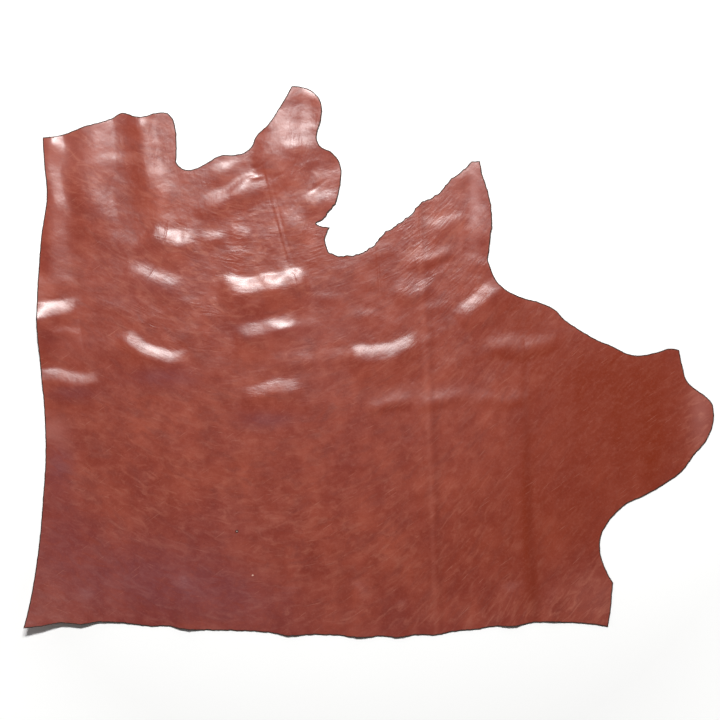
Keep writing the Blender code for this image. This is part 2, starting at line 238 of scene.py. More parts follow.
def wave_line(start, middle, end, pieces):
    """Points on the parabola that leaves `start`, passes `middle` half way and stops at `end`."""
    a, b, c = (np.array(p, dtype=float) for p in (start, middle, end))
    u = np.linspace(0.0, 1.0, pieces + 1)[:, None]
    return (1 - u) * (1 - 2 * u) * a + 4 * u * (1 - u) * b + u * (2 * u - 1) * c


# %% How far points lie off a line
def measure_off(at, line):
    """For each point: signed distance to a bent line (left of it is +) and how far along it, 0 to 1."""
    near = np.full(len(at), np.inf)
    side = np.ones(len(at))
    along = np.zeros(len(at))
    pieces = len(line) - 1
    for k in range(pieces):
        leg = line[k + 1] - line[k]
        off = at - line[k]
        t = np.clip(off @ leg / (leg @ leg), 0.0, 1.0)
        d = np.linalg.norm(off - t[:, None] * leg, axis=1)
        closer = d < near
        near = np.where(closer, d, near)
        side = np.where(closer, np.sign(leg[0] * off[:, 1] - leg[1] * off[:, 0]), side)
        along = np.where(closer, (k + t) / pieces, along)
    return near * side, along


# %% The height of one wave
def wave_height(at, wave):
    """(1 - s^p)^q across, s being the distance over the half width shifted by the lean, 0 beyond.

    Along its line the wave rises and dies as (1 - (2 u - 1)^r)^2.  p, q and r go with the shape."""
    start, middle, end, half_width, height, lean, shape = wave
    inner, outer, along_power = SHAPES[shape]
    line = wave_line(start, middle, end, LINE_PIECES)
    out = np.zeros(len(at))
    close = np.all((at > line.min(axis=0) - half_width) & (at < line.max(axis=0) + half_width), axis=1)
    off, along = measure_off(at[close], line)
    s = np.clip(off / half_width, -1.0, 1.0)
    s = (s - lean) / (1 - lean * s)
    out[close] = height * (1 - np.abs(s) ** inner) ** outer * (1 - (2 * along - 1) ** along_power) ** 2
    return out


# %% [markdown]
# No crest runs straight.  Before a wave is measured, every point is nudged a few millimetres to and
# fro along a few long sines, so each crest wanders and its highlight frays as it does on leather.

# %% The wander of the crests
WANDER = ((139, 0.4, 3.6), (83, 2.3, 1.6), (47, 4.1, 0.6), (29, 0.9, 0.25))   # length, phase, nudge


def wander(at):
    """Nudges x along sines of y + x / 3, and y along sines of x - y / 3."""
    along, across = at[:, 1] + at[:, 0] / 3, at[:, 0] - at[:, 1] / 3
    nudge = [np.stack([size * np.sin(2 * np.pi * along / length + phase),
                       size * np.sin(2 * np.pi * across / length + 2 * phase)], axis=1)
             for length, phase, size in WANDER]
    return at + sum(nudge)


# %% [markdown]
# Between the waves the leather is slack: it rises and falls by half a millimetre over a hand's
# width, more towards the belly, where the hide is loosest.  That unevenness is what breaks up the
# reflection of a window in it.

# %% The slack of the leather and the whole height
# length, heading in degrees and phase of each wave
SLACK_WAVES = ((150, 20, 0.0), (118, 75, 1.9), (96, -35, 4.0), (84, 110, 0.7), (71, 50, 2.6), (62, -70, 5.2))
SLACK_BENDS = ((22, 67), (17, 53))     # how far they bend and over what length, across and up
SLACK_HEIGHT = 0.40
BELLY = (-150, 260)          # where the leather is loosest
BELLY_REACH = 430.0


def slack(at):
    """A bell over the belly times the part of a sum of bent sines that is above 0, to power 1.5."""
    total = np.zeros(len(at))
    (far_across, over_across), (far_up, over_up) = SLACK_BENDS
    for length, heading, phase in SLACK_WAVES:
        turn = math.radians(heading)
        run = at @ np.array([math.cos(turn), math.sin(turn)])
        bend = (far_across * np.sin(at[:, 0] / over_across + phase)
                + far_up * np.sin(at[:, 1] / over_up - phase))
        total += np.sin(2 * np.pi * (run + bend) / length + phase)
    loose = np.exp(-np.sum((at - np.array(BELLY)) ** 2, axis=1) / BELLY_REACH ** 2)
    return SLACK_HEIGHT * loose * np.clip(total, 0.0, None) ** 1.5 / 2


def curl(at):
    """The corner's lift: the square of how far a point lies past the line where the curl begins."""
    turn = math.radians(CURL_TURN)
    inward = (at - np.array(CURL_CORNER)) @ np.array([math.cos(turn), math.sin(turn)])
    return CURL_LIFT * (np.clip(CURL_REACH - inward, 0.0, None) / CURL_REACH) ** 2


def lift(at):
    """Height of the flesh side over the floor: waves, curl and slack together, never below 0."""
    bent = wander(at)
    return np.clip(sum(wave_height(bent, wave) for wave in WAVES) + curl(at) + slack(at), 0.0, None)


# %% [markdown]
# ## Creases in the grain
#
# Some marks are only in the grain side: the sharp double crease in front of the leg, the hairline
# creases, and the neck's wrinkles.  They are shallow, soft-edged troughs and ridges in the upper
# face alone, with rows of points laid along them so that they are real shape in the mesh.

# %% Creases: start, middle, end, half width, height, lean, cross-section
CREASES = (
    ((-206, 384), (-184, 300), (-146, 150), 5.0, -0.45, 0.0, "bell"),
    ((-190, 372), (-166, 268), (-136, 168), 4.0, -0.3, 0.0, "bell"),
    ((-199, 377), (-177, 285), (-140, 160), 5.5, 0.35, 0.0, "bell"),
    ((-379, 272), (-384, 246), (-390, 216), 2.5, -0.5, 0.0, "bell"),
    ((-402, 184), (-408, 172), (-421, 152), 2.5, -0.3, 0.0, "bell"),
    ((15, 226), (18, 170), (23, 112), 3.5, -0.6, 0.0, "bell"),
    ((22, 226), (25, 170), (29, 120), 3.5, 0.3, 0.0, "bell"),
    ((-556, 122), (-548, 70), (-537, 14), 5.0, -0.5, 0.0, "bell"),
    ((-146, 172), (-141, 160), (-136, 142), 4.0, -0.6, 0.0, "bell"),
    ((-225, 366), (-205, 371), (-186, 388), 5.0, -0.6, 0.0, "bell"),
    ((-232, 352), (-212, 349), (-196, 356), 5.0, 0.6, 0.0, "bell"),
    ((-188, 340), (-172, 352), (-158, 357), 4.0, -0.4, 0.0, "bell"),
    ((-120, 318), (-98, 332), (-76, 350), 5.0, -0.4, 0.0, "bell"),
    ((292, 60), (298, 0), (301, -70), 3.0, -0.3, 0.0, "bell"),
    ((96, 296), (98, 255), (97, 212), 6.0, -0.8, 0.0, "bell"),
    ((-46, 208), (-45, 185), (-44, 150), 8.0, -0.6, 0.0, "bell"),
)
CREASE_STEP = 4.0     # spacing of the points along a crease


def creases(at):
    """Height that the creases add to the grain side."""
    return sum(wave_height(at, crease) for crease in CREASES)


def crease_rows():
    """Rows of points on each crease's line, half way out and at its two feet."""
    rows = []
    for start, middle, end, half_width, *_ in CREASES:
        length = math.dist(start, middle) + math.dist(middle, end)
        line = wave_line(start, middle, end, int(length / CREASE_STEP))
        run = np.gradient(line, axis=0)
        side = np.stack([-run[:, 1], run[:, 0]], axis=1) / np.linalg.norm(run, axis=1)[:, None]
        rows += [line + side * half_width * share for share in (-1.0, -0.5, 0.0, 0.5, 1.0)]
    return np.concatenate(rows)


print(len(CREASES), "creases")

# %% [markdown]
# ## The sheet as a mesh
#
# The faces are triangles between points in staggered rows, which show no grain of their own when
# light grazes them.  Blender's own triangulation joins them to the wandering edge.  A modifier such
# as Solidify could give the thickness, but then the raw edge would be a plain square wall; here the
# edge's rounded profile is carried along the outline instead.

# %% Points inside the edge
THICKNESS = 2.0
GRAIN_STEP = 4.8      # spacing of points on the grain side
FLESH_STEP = 10.0     # and on the flesh side, which the floor hides
ROW_GAP = 0.866       # of a step, between one row and the next


def honeycomb(step):
    """Points `step` apart in staggered rows over the whole hide."""
    low, high = EDGE.min(axis=0), EDGE.max(axis=0)
    row, place = np.mgrid[0:int((high[1] - low[1]) / step / ROW_GAP), 0:int((high[0] - low[0]) / step)]
    x = low[0] + (place + (row % 2) / 2) * step
    return np.stack([x.ravel(), low[1] + row.ravel() * step * ROW_GAP], axis=1)


# %% How far points lie from the edge
def to_edge(at, edge):
    """Distance of each point to the closed edge line, and whether it lies inside it."""
    near = np.full(len(at), np.inf)
    inside = np.zeros(len(at), dtype=bool)
    for a, b in zip(edge, np.roll(edge, -1, axis=0)):
        leg = b - a
        off = at - a
        t = np.clip(off @ leg / (leg @ leg), 0.0, 1.0)
        near = np.minimum(near, np.linalg.norm(off - t[:, None] * leg, axis=1))
        if leg[1] != 0:
            crosses = (at[:, 1] < a[1]) != (at[:, 1] < b[1])
            inside ^= crosses & (off[:, 0] < off[:, 1] * leg[0] / leg[1])
    return near, inside


# %% Points kept clear of the edge and of the creases
EDGE_ROLL = 2.0       # how far in from the cut the grain side starts to roll over
EDGE_CLEAR = 0.6      # of a step, and EDGE_ROLL more: how far the rows keep off the edge
CREASE_CLEAR = 0.4    # of a step: how far the rows keep off a crease
CREASE_STOP = 3.5     # how far a crease's own points keep off the edge
CREASE_CELL = 1.4     # they are thinned to one in each square of this side


def thin_out(at, cell):
    """Keeps one point in each square cell, so that rows that cross don't crowd."""
    _, first = np.unique(np.floor(at / cell).astype(int), axis=0, return_index=True)
    return at[np.sort(first)]


def inner_points(step, rows):
    """Staggered points clear of the edge and of the crease rows, plus the crease rows themselves."""
    spots = honeycomb(step)
    for start, middle, end, half_width, *_ in (CREASES if len(rows) else ()):
        off, _ = measure_off(spots, wave_line(start, middle, end, LINE_PIECES))
        spots = spots[np.abs(off) > half_width + CREASE_CLEAR * step]
    near, inside = to_edge(spots, EDGE)
    spots = spots[inside & (near > EDGE_CLEAR * step + EDGE_ROLL)]
    if len(rows):
        near, inside = to_edge(rows, EDGE)
        spots = np.concatenate([spots, rows[inside & (near > CREASE_STOP)]])
    return spots


grain_points = inner_points(GRAIN_STEP, thin_out(crease_rows(), CREASE_CELL))
flesh_points = inner_points(FLESH_STEP, ())
print(len(grain_points), "points on the grain side,", len(flesh_points), "on the flesh side")

# %% [markdown]
# The edge's profile is seen from the side as a slightly rounded wall: the grain layer is rolled over
# by the knife, the fibres in the middle stand a little back, and the flesh side frays out.

# %% Join the two faces round the raw edge
WELD = 1e-4           # points nearer than this count as one
# set in from the cut line, height as a share of the thickness
EDGE_PROFILE = ((EDGE_ROLL, 1.00), (0.9, 0.98), (0.30, 0.92), (0.05, 0.80), (0.0, 0.66), (0.14, 0.48),
                (0.02, 0.24), (0.12, 0.07), (0.5, 0.0))


def triangles(ring, inner):
    """Triangles joining a closed ring of points and the points inside it, as an array of corners."""
    flat = np.concatenate([ring, inner])
    links = [(k, (k + 1) % len(ring)) for k in range(len(ring))]
    spots, _, faces = delaunay_2d_cdt([Vector(p) for p in flat], links, [], 0, WELD, False)[:3]
    assert len(spots) == len(flat), "two points of the hide fell on each other"
    faces = np.array(faces)
    keep = np.any(faces >= len(ring), axis=1)    # one with all corners on the ring may be outside
    keep[~keep] = to_edge(flat[faces[~keep]].mean(axis=1), ring)[1]
    return faces[keep]


square_out = outward(EDGE)
rings = [EDGE - square_out * inset for inset, _ in EDGE_PROFILE]
grain_faces = triangles(rings[0], grain_points)
flesh_faces = triangles(rings[-1], flesh_points)
print(len(grain_faces), "grain triangles,", len(flesh_faces), "flesh triangles")

# %% Put every point at its height
def raised(at, share):
    """The points in metres, at `share` of the leather's thickness over the flesh side."""
    return np.column_stack([at, lift(at) + share * THICKNESS]) * MM


parts = [raised(ring, share) for ring, (_, share) in zip(rings, EDGE_PROFILE)]
grain = np.concatenate([rings[0], grain_points])
grain_z = (lift(grain) + THICKNESS + creases(grain)) * MM
parts[0][:, 2] = grain_z[:len(EDGE)]
grain_inner = np.column_stack([grain_points * MM, grain_z[len(EDGE):]])
flesh_inner = raised(flesh_points, 0.0)
points = np.concatenate(parts + [grain_inner, flesh_inner])
flat = points[:, :2] / MM     # where the tables put each point
middle = (edge_line.min(axis=0) + edge_line.max(axis=0)) / 2
points[:, :2] -= middle * MM     # origin in the middle, as packed

n = len(EDGE)
last_ring = n * (len(parts) - 1)
grain_start = n * len(parts)
flesh_start = grain_start + len(grain_points)
grain_faces = np.where(grain_faces < n, grain_faces, grain_faces - n + grain_start)
flesh_faces = np.where(flesh_faces < n, flesh_faces + last_ring, flesh_faces - n + flesh_start)[:, ::-1]
k = np.arange(n)
# The rim's faces, the rolled lip of the grain side among them, take the raw cut's dark colour, which also
# paints the shade along the edge.
rim_faces = np.concatenate([np.stack([k + row * n, (k + 1) % n + row * n, (k + 1) % n + (row + 1) * n,
                                      k + (row + 1) * n], axis=1) for row in range(len(parts) - 1)])
print("sheet from z =", round(points[:, 2].min() / MM, 2), "to", round(points[:, 2].max() / MM, 2), "mm")

# %% [markdown]
# ## The flow of the grain
#
# A hide stretches as it is pulled over the tanner's drum, and its fine wrinkles follow that pull:
# down to the right beside the flank, level in the middle, then more and more steeply up to the
# shoulder.  A UV map that is bent the same way lets one streaky pattern follow the pull everywhere.
# u runs along the streaks and v across them, both in metres.

# %% The bent map
PULL_AT = (-650, -450, -260, -120, 30, 150, 300, 450, 650)        # across the hide, mm
PULL_SLOPE = (-0.30, -0.48, -0.12, 0.18, 0.55, 0.95, 1.15, 0.85, 0.5)     # rise of a streak for 1 across
PULL_ENDS = 700.0        # the line is worked out this far each way
PULL_STEP = 5.0


def flow(at):
    """v: height over the line whose slope is the pull's; u: length along that line."""
    x = np.linspace(-PULL_ENDS, PULL_ENDS, int(2 * PULL_ENDS / PULL_STEP) + 1)
    slope = np.interp(x, PULL_AT, PULL_SLOPE)
    rise = np.cumsum(slope) * (x[1] - x[0])
    length = np.cumsum(np.sqrt(1 + slope ** 2)) * (x[1] - x[0])
    u = np.interp(at[:, 0], x, length)
    v = at[:, 1] - np.interp(at[:, 0], x, rise)
    return np.stack([u, v], axis=1) * MM


# %% [markdown]
# ## Where the finish changes
#
# Dye and wax are not even over a hide, and some patches paint light as well: highlights, sheen, a violet
# reflection and shade.  Each change is a soft patch with a middle, a reach and a strength.  The patches of
# one finish are gathered in one attribute of the mesh, and the material reads the attribute.  Painting a mask
# by hand would do the same, but a short table says in words where the hide is pale and where it is dark.

# %% Patches: middle, reach across, reach up, strength
BLOOM_AND_PAINTED_LIGHT = (                      # wax bloom; its violet cast is a painted reflection, and the wide band along the bottom is painted shade
    ((-386, -28), 62, 20, 0.9), ((-560, -58), 45, 14, 0.7), ((-585, -195), 26, 45, 0.9),
    ((-190, -108), 50, 16, 0.8), ((-500, -400), 150, 90, 0.75), ((-330, -420), 130, 70, 0.7),
    ((-590, -300), 60, 90, 0.45), ((-100, -560), 600, 90, 0.4), ((-150, 60), 120, 24, 0.35),
    ((-230, -460), 100, 50, 0.45), ((-420, 150), 70, 26, 0.4), ((-560, 40), 60, 18, 0.4),
    ((-260, -300), 90, 50, 0.25),
)
# Painted shade among these: (-440, 340) beside a lit slope, (-100, 440) on the leg's shaded side, (299, -240)
# and (312, -430) along the second fold, and the upright bands at (400, -40) and (536, -170); (104, 268) and
# (20, 165) darken creases.
DEEP_DYE_AND_SHADE = (                       # more dye: darker and redder, besides the painted shade listed above
    ((450, -60), 190, 130, 0.9), ((400, -260), 170, 130, 0.6), ((250, 20), 110, 40, 0.4),
    ((560, -160), 110, 80, 0.4), ((250, -330), 150, 120, 0.4), ((60, 30), 70, 26, 0.35),
    ((-150, 190), 110, 26, 0.5), ((-420, 170), 60, 24, 0.2), ((-440, 340), 26, 90, 0.45),
    ((-560, 330), 30, 90, 0.3), ((-100, 440), 26, 60, 0.3), ((104, 268), 12, 34, 0.7),
    ((299, -240), 11, 170, 0.8), ((312, -430), 11, 60, 0.8), ((536, -170), 24, 150, 0.5),
    ((470, -60), 10, 110, 0.4), ((400, -40), 8, 60, 0.4), ((290, 90), 50, 34, 1.0),
    ((480, -10), 150, 60, 0.5), ((20, 165), 30, 60, 0.3), ((-60, 235), 40, 26, 0.4),
)
RUBBED_AND_SHEEN = (                     # wax drawn out of the leather where it was bent or rubbed: paler; the broad ones over the upper half are also painted sheen
    ((-420, -250), 190, 120, 0.5), ((-100, -330), 240, 130, 0.45), ((150, -330), 120, 130, 0.4),
    ((-440, 380), 120, 90, 0.4), ((-250, 250), 150, 90, 0.6), ((-300, 130), 260, 110, 0.5),
    ((-560, 380), 90, 120, 0.7), ((-120, 340), 70, 80, 0.5), ((130, 210), 90, 90, 0.5),
    ((-60, -480), 420, 26, 0.55), ((330, -470), 120, 24, 0.6), ((628, -95), 28, 70, 1.4),
    ((425, -450), 80, 70, 0.9), ((200, 0), 160, 60, 0.3), ((-370, 160), 130, 60, 0.45),
    ((-133, 4), 80, 50, 0.4),
)
RUBBED_ALL_OVER = 0.3          # added to those everywhere: no part of a hide keeps all its wax

# %% More patches: the film of wax and the wrinkles
HAZE_AND_HIGHLIGHTS = (                       # pale film of wax, and painted highlights: most lie on slopes that face the windows
    ((630, -95), 24, 80, 0.9), ((200, 310), 10, 72, 1.3), ((-585, 330), 22, 120, 0.5),
    ((-500, 400), 22, 60, 0.4), ((-160, 420), 26, 60, 0.5), ((-570, 400), 70, 50, 0.4),
    ((-30, 300), 40, 50, 0.3), ((90, -60), 120, 16, 0.35), ((-360, 155), 130, 60, 0.22),
    ((-133, 0), 70, 60, 0.22), ((-600, -128), 30, 20, 0.8), ((440, -440), 80, 55, 0.35),
)
WRINKLED = (                   # fine wrinkles that stand up
    ((-180, 300), 190, 110, 0.9), ((-260, 170), 160, 90, 0.7), ((-120, 400), 60, 110, 0.7),
    ((110, 220), 110, 130, 0.9), ((230, 140), 90, 60, 0.7), ((-420, 300), 120, 160, 0.4),
    ((-360, 60), 120, 90, 0.5), ((60, 0), 130, 60, 0.5), ((-160, -60), 90, 60, 0.5),
)
UPRIGHT = (                    # where the wrinkles run up the hide, not along the pull
    ((-130, 400), 80, 170, 1.0), ((-430, 380), 170, 170, 0.9), ((190, 290), 50, 90, 0.6),
)


def patches(at, table):
    """Sum of bells, each exp(-(across / reach)^2 - (up / reach)^2) times its strength."""
    return sum(strength * np.exp(-((at[:, 0] - x) / across) ** 2 - ((at[:, 1] - y) / up) ** 2)
               for (x, y), across, up, strength in table)


print("patches:", len(BLOOM_AND_PAINTED_LIGHT), "of bloom,", len(DEEP_DYE_AND_SHADE), "of deep dye,", len(RUBBED_AND_SHEEN), "rubbed_and_sheen")

# %% [markdown]
# The two long pressed folds are marked along their lines.  The first is rubbed pale along one side and has
# painted shade along the other; the second has painted shade in its valley, and less so towards the legs.

# %% Wear and painted shade along the long folds
PALE_OFF, PALE_WIDE = 6, 4        # the pale line: how far beside the first fold, and how wide
DARK_OFF, DARK_WIDE = 6, 5        # the painted shade on its other side
VALLEY_WIDE = 7                   # the painted shade in the second fold's valley
VALLEY_TOP, VALLEY_FADE = 60, 150     # it fades above this height, over this length


def fold_wear_and_painted_shade(at):
    """Bells exp(-(distance / width)^2) beside the folds: + is paler, - is painted shade."""
    first, _ = measure_off(at, wave_line(*LONG_FOLDS[0][:3], LINE_PIECES))
    second, _ = measure_off(at, wave_line(*LONG_FOLDS[1][:3], LINE_PIECES))
    lower = np.clip((VALLEY_TOP - at[:, 1]) / VALLEY_FADE, 0.3, 1.0)
    return (np.exp(-((first + PALE_OFF) / PALE_WIDE) ** 2)
            - 0.8 * np.exp(-((first - DARK_OFF) / DARK_WIDE) ** 2)
            - 0.9 * lower * np.exp(-(second / VALLEY_WIDE) ** 2))


finish = {"bloom_and_painted_light": patches(flat, BLOOM_AND_PAINTED_LIGHT), "deep_dye_and_shade": patches(flat, DEEP_DYE_AND_SHADE),
          "rubbed_and_sheen": patches(flat, RUBBED_AND_SHEEN) + RUBBED_ALL_OVER, "wrinkled": patches(flat, WRINKLED),
          "upright": np.clip(patches(flat, UPRIGHT), 0.0, 1.0), "wax_film_and_highlights": patches(flat, HAZE_AND_HIGHLIGHTS),
          "fold_wear_and_shade": fold_wear_and_painted_shade(flat)}
print("strongest:", {name: round(float(values.max()), 2) for name, values in finish.items()})

# %% [markdown]
# ## Colours and nodes
#
# Colours are written as they look on a screen, and one function turns them to the linear light
# values that a shader works with.  One more function adds a node with its settings and links.

# %% Helpers for materials
def linear(hex_colour, alpha=1.0):
    """sRGB hex to linear: c / 12.92 in the darks, ((c + 0.055) / 1.055) ^ 2.4 above."""
    srgb = [int(hex_colour[i:i + 2], 16) / 255 for i in (1, 3, 5)]
    return tuple(c / 12.92 if c <= 0.04045 else ((c + 0.055) / 1.055) ** 2.4 for c in srgb) + (alpha,)


def add(tree, kind, inputs=None, **settings):
    """Adds a node; `inputs` gives sockets a value or another node's output, `settings` its options."""
    node = tree.nodes.new(kind)
    for name, value in settings.items():
        setattr(node, name, value)
    for socket, value in (inputs or {}).items():
        if isinstance(value, bpy.types.NodeSocket):
            tree.links.new(value, node.inputs[socket])
        else:
            node.inputs[socket].default_value = value
    return node


def new_material(name):
    """A material with its node tree and its Principled shader."""
    material = bpy.data.materials.new(name)
    material.use_nodes = True
    return material, material.node_tree, material.node_tree.nodes["Principled BSDF"]


# %% [markdown]
# ## Waxed pull-up leather
#
# Drum-dyed with aniline, then filled with hot oil and wax and plated to a gloss.  The eye sees a
# deep red-brown that is never one colour: soft clouds a few centimetres across, paler where the
# wax was pulled, fine pale wrinkles along the pull, hairline scratches, and a grain of pores under
# a millimetre.  The pores are too fine to show from where a whole hide is seen, so they are drawn
# about 4 mm across.
#
# A painted texture could carry all this, but noise has no seams and can be changed by one number.
# First come the patterns, each with the size of its blots in millimetres.  A stretch above 1 packs
# the blots closer along that axis, and so makes streaks along the other.

# %% Patterns of the grain side
waxed_leather, tree, shader = new_material("waxed_pull_up_leather")
place = add(tree, "ShaderNodeTexCoord").outputs["Object"]
pull = add(tree, "ShaderNodeUVMap", uv_map="pull").outputs["UV"]
cross = add(tree, "ShaderNodeMapping",
            {"Vector": place, "Rotation": (0.0, 0.0, math.radians(-35))}).outputs[0]
EVEN = (1.0, 1.0, 1.0)
# name: what it follows, size in mm, stretch, detail, roughness, twist
PATTERNS = {
    "dye": (place, 90, EVEN, 2, 0.5, 0.0),                     # clouds of dye, a hand's width
    "bands": (place, 45, (1.0, 0.22, 1.0), 2, 0.5, 0.0),       # faint bands down the hide
    "blots": (place, 26, EVEN, 5, 0.62, 0.0),                  # smaller blots
    "mottle": (pull, 52, (1.0, 1.9, 1.0), 4, 0.6, 0.8),        # uneven wax, blot beside blot
    "smudge": (pull, 40, (1.0, 2.2, 1.0), 5, 0.62, 1.2),       # wax pulled along the grain
    "speck": (place, 4, EVEN, 3, 0.7, 0.0),                    # pores, drawn coarse
    "level": (pull, 46, (1.0, 3.6, 1.0), 3, 0.5, 1.8),         # wrinkles 46 mm long, 13 mm apart
    "steep": (place, 46, (3.2, 1.0, 1.0), 3, 0.5, 1.8),        # the same, up the legs and the flank
    "swell": (place, 24, EVEN, 2, 0.5, 0.0),                   # soft unevenness of the surface
    "clump": (place, 60, EVEN, 3, 0.6, 0.0),                   # wrinkles come in clumps
    "hair": (pull, 38, (1.0, 16.0, 1.0), 1, 0.4, 0.25),        # scratches along the pull
    "nick": (cross, 44, (1.0, 20.0, 1.0), 1, 0.4, 0.2),        # scratches across it
}
value_of = {name: add(tree, "ShaderNodeAttribute", attribute_name=name).outputs["Fac"]
            for name in finish}     # first the patches, then the patterns
for name, (follows, size_mm, stretch, detail, rough, twist) in PATTERNS.items():
    spot = add(tree, "ShaderNodeMapping", {"Vector": follows, "Scale": stretch}).outputs[0]
    value_of[name] = add(tree, "ShaderNodeTexNoise",
                         {"Vector": spot, "Scale": 1 / (size_mm * MM), "Detail": detail,
                          "Roughness": rough, "Distortion": twist}).outputs["Fac"]
print(len(PATTERNS), "patterns and", len(finish), "sets of patches")

# %% [markdown]
# Colour is laid on as a finisher lays it on, layer over layer.  A layer starts to show at one value
# of its pattern and is fullest at another, and some layers are kept to the patches of one finish.

# %% Layers of colour, each over the last
GROUND = "#7B2F24"
# pattern, patches it is kept to, value where it starts, value where it is fullest,
# share at the start, share where fullest, colour, rise
LAYERS = (
    ("dye", None, 0.3, 0.7, 0.0, 1.0, "#964634", "LINEAR"),
    ("bands", None, 0.3, 0.7, 0.0, 0.6, "#7A3023", "LINEAR"),
    ("blots", None, 0.45, 0.8, 0.0, 0.38, "#A45846", "LINEAR"),
    ("blots", None, 0.5, 0.2, 0.0, 0.35, "#742C20", "LINEAR"),
    ("mottle", None, 0.50, 0.74, 0.0, 0.62, "#75352D", "LINEAR"),
    ("mottle", None, 0.46, 0.28, 0.0, 0.14, "#9C4B3C", "LINEAR"),
    # darker, redder dye, and painted shade where the deep patches are marked so
    ("deep_dye_and_shade", None, 0.0, 4 / 3, 0.0, 1.0, "#7B2A13", "LINEAR"),
    # violet over the bloom patches: painted reflection, and painted shade along the bottom
    ("smudge", "bloom_and_painted_light", 0.3, 0.7, 0.25, 0.75, "#713D45", "LINEAR"),
    # pale over the rubbed patches: pulled wax, and painted sheen over the upper half
    ("smudge", "rubbed_and_sheen", 0.5, 0.82, 0.0, 0.62, "#B06A55", "LINEAR"),
    ("hair", None, 0.70, 0.80, 0.0, 0.3, "#B87C6A", "SMOOTHSTEP"),
    ("nick", None, 0.71, 0.80, 0.0, 0.3, "#B87C6A", "SMOOTHSTEP"),
    ("speck", None, 0.5, 0.8, 0.0, 0.2, "#B06A5A", "LINEAR"),
    # painted highlights, over a pale film of wax
    ("wax_film_and_highlights", None, 0.0, 1.0, 0.0, 0.42, "#AC7068", "LINEAR"),
    ("fold_wear_and_shade", None, 0.0, 1.0, 0.0, 0.18, "#A86252", "LINEAR"),
    # painted shade beside the first fold and in the second fold's valley
    ("fold_wear_and_shade", None, 0.0, -1.0, 0.0, 0.35, "#702A1E", "LINEAR"),
)
colour = linear(GROUND)
for name, kept_to, start, full, least, most, shade, rise in LAYERS:
    share = add(tree, "ShaderNodeMapRange",
                {"Value": value_of[name], "From Min": start, "From Max": full,
                 "To Min": least, "To Max": most},
                interpolation_type=rise).outputs[0]
    if kept_to:
        share = add(tree, "ShaderNodeMath", {0: value_of[kept_to], 1: share}, operation="MULTIPLY").outputs[0]
    colour = add(tree, "ShaderNodeMix", {"Factor": share, 6: colour, 7: linear(shade)},
                 data_type="RGBA").outputs[2]
print(len(LAYERS), "layers of colour")

# %% Healed insect bites: where, half width in mm, colour
BITES = (
    ((-252.5, -320.5), 3.4, "#3A1A14"),     # a dark ring
    ((-252.5, -320.5), 1.5, "#A98A80"),     # its light middle
    ((-222.5, -403.5), 2.0, "#D0A392"),     # a pale scar
)
BITE_FULL = 0.7     # of the half width: inside this a bite has its full colour
for (x_mm, y_mm), wide_mm, shade in BITES:
    off = add(tree, "ShaderNodeVectorMath", {0: place, 1: (x_mm * MM, y_mm * MM, THICKNESS * MM)},
              operation="DISTANCE").outputs["Value"]
    share = add(tree, "ShaderNodeMapRange",
                {"Value": off, "From Min": wide_mm * MM, "From Max": BITE_FULL * wide_mm * MM}).outputs[0]
    colour = add(tree, "ShaderNodeMix", {"Factor": share, 6: colour, 7: linear(shade)},
                 data_type="RGBA").outputs[2]
tree.links.new(colour, shader.inputs["Base Color"])
print(len(BITES), "marks of bites")

# %% [markdown]
# The plated wax is glossy but not a mirror, and a little duller where it is blotched.  The relief is
# a bump of well under a millimetre: wrinkles where the patches put them, in clumps, then pores,
# blots and a soft swell that breaks up every highlight.

# %% Gloss and relief
GLOSSY, DULLER = 0.32, 0.37       # roughness of the wax at its best and where it is blotched
RELIEF = 0.7 * MM                 # height of a pattern whose share is 1
WRINKLES_ALL_OVER = 0.16          # share of the wrinkles outside their patches
RELIEF_SHARES = {"speck": 0.12, "blots": 0.35, "swell": 1.1}

uneven = add(tree, "ShaderNodeMath", {0: value_of["blots"], 1: value_of["smudge"]},
             operation="ADD").outputs[0]
gloss = add(tree, "ShaderNodeMapRange",
            {"Value": uneven, "From Min": 0.7, "From Max": 1.3, "To Min": GLOSSY, "To Max": DULLER}
            ).outputs[0]
wrinkle = add(tree, "ShaderNodeMix",
              {"Factor": value_of["upright"], 2: value_of["level"], 3: value_of["steep"]}).outputs[0]
clumped = add(tree, "ShaderNodeMapRange",
              {"Value": value_of["clump"], "From Min": 0.38, "From Max": 0.66, "To Min": 0.1, "To Max": 1.3}
              ).outputs[0]
share = add(tree, "ShaderNodeMath", {0: value_of["wrinkled"], 1: clumped, 2: WRINKLES_ALL_OVER},
            operation="MULTIPLY_ADD").outputs[0]
relief = add(tree, "ShaderNodeMath", {0: wrinkle, 1: share}, operation="MULTIPLY").outputs[0]
for name, share in RELIEF_SHARES.items():
    relief = add(tree, "ShaderNodeMath", {0: value_of[name], 1: share, 2: relief},
                 operation="MULTIPLY_ADD").outputs[0]
bump = add(tree, "ShaderNodeBump", {"Strength": 1.0, "Distance": RELIEF, "Height": relief})
tree.links.new(gloss, shader.inputs["Roughness"])
tree.links.new(bump.outputs[0], shader.inputs["Normal"])
shader.inputs["IOR"].default_value = 1.4
shader.inputs["Coat Weight"].default_value = 0.2      # the plated wax film
shader.inputs["Coat Roughness"].default_value = 0.2
print("grain side:", len(tree.nodes), "nodes")

# %% [markdown]
# ## Raw edge and flesh side
#
# The hide is dyed through.  Its cut fibres stand open and soak up oil, so the edge is a thin, dull, dark
# brown line beside the glossy grain; its browns are darker still, as painted shade along the edge.  The flesh
# side is split and buffed, which leaves a dull, pale nap.

